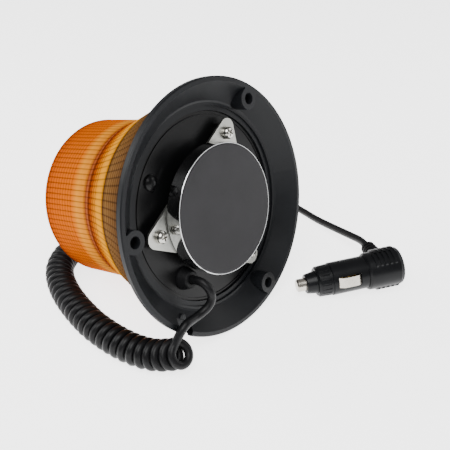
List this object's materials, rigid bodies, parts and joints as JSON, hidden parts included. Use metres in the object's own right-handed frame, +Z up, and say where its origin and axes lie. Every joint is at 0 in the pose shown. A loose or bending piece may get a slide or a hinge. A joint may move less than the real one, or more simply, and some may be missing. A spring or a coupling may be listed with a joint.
{
  "type": "magnetic led warning beacon",
  "caption": "Amber LED warning beacon with a magnetic base and a flange, lying on its side, on a curly cord with a right-angled lighter-socket plug.",
  "frame": {"origin": "centre of the lying beacon's footprint box, on the ground", "axes": "+X to the right seen from the magnet side, +Y from the magnet towards the lens, +Z up"},
  "size_m": [0.216, 0.2039, 0.1426],
  "materials": {
    "black_housing": "moulded, fine satin",
    "black_cover": "moulded, satin",
    "black_rubber": "soft, matt",
    "zinc_plate": "satin zinc plate",
    "cup_chrome": "bright plate",
    "ferrite": "sintered, dull",
    "pad_rubber": "flat, matt",
    "amber_lens": "clear amber polycarbonate, prismatic",
    "drum_aluminium": "satin",
    "board_white": "solder mask",
    "led_yellow": "phosphor dome",
    "plate_dark": "satin",
    "board_green": "solder mask",
    "parts_dark": "moulded",
    "brass": "plain",
    "wire_red": "insulation",
    "wire_black": "insulation",
    "cord_black": "smooth, satin",
    "plug_black": "moulded, satin",
    "cap_grey": "moulded, satin",
    "contact_nickel": "nickel plate",
    "fuse_glass": "clear"
  },
  "bodies": {
    "beacon": {"base_housing": "black_housing", "base_cover": "black_cover", "cover_seal": "black_rubber", "vent_plug": "black_cover", "cable_gland": "black_rubber", "magnet_bracket": "zinc_plate", "bracket_screws": "zinc_plate", "spring_washers": "zinc_plate", "magnet_cup": "cup_chrome", "magnet_ring": "ferrite", "magnet_pad": "pad_rubber", "magnet_rivet": "zinc_plate", "lens": "amber_lens", "lens_seal": "black_rubber", "led_drum": "drum_aluminium", "led_boards": "board_white", "led_chips": "led_yellow", "drum_plate": "plate_dark", "drum_screws": "zinc_plate", "driver_board": "board_green", "board_posts": "brass", "board_screws": "zinc_plate", "driver_parts": "parts_dark", "wire_red": "wire_red", "wire_black": "wire_black", "cord_lead": "cord_black", "curly_cord": "cord_black", "cord_tail": "cord_black", "plug_barrel": "plug_black", "plug_head": "plug_black", "plug_end_cap": "cap_grey", "plug_strain_relief": "black_rubber", "fuse_spring": "contact_nickel", "rear_terminal": "brass", "contact_clip": "brass"},
    "nose_cone": {"nose_cone": "plug_black"},
    "nose_collar": {"nose_collar": "plug_black"},
    "tip": {"tip_pin": "contact_nickel", "fuse_tube": "fuse_glass", "fuse_caps": "contact_nickel"},
    "contact_front": {"side_contact_front": "contact_nickel"},
    "contact_back": {"side_contact_back": "contact_nickel"}
  },
  "joints": [
    {"name": "nose_advance", "type": "slide", "parent": "beacon", "child": "nose_cone", "axis": [-0.7984, 0.5951, -0.0913], "range_m": [0, 0.0045]},
    {"name": "nose_unscrew", "type": "hinge", "parent": "nose_cone", "child": "nose_collar", "pos_m": [0.05517, -0.08202, 0.00999], "axis": [-0.7984, 0.5951, -0.0913], "range_deg": [0, 1080]},
    {"name": "tip_press", "type": "slide", "parent": "nose_cone", "child": "tip", "axis": [0.7984, -0.5951, 0.0913], "range_m": [0, 0.0025], "stiffness_N_per_m": 800, "springref_m": -0.005, "deforming": ["fuse_spring"]},
    {"name": "contact_front_press", "type": "slide", "parent": "beacon", "child": "contact_front", "axis": [0.5976, 0.7648, -0.2409], "range_m": [0, 0.0012], "stiffness_N_per_m": 1500, "springref_m": -0.001},
    {"name": "contact_back_press", "type": "slide", "parent": "beacon", "child": "contact_back", "axis": [-0.5976, -0.7648, 0.2409], "range_m": [0, 0.0012], "stiffness_N_per_m": 1500, "springref_m": -0.001}
  ],
  "couplings": [
    {"joint": "nose_unscrew", "follows": "nose_advance", "rad_per_m": 4188.8}
  ]
}
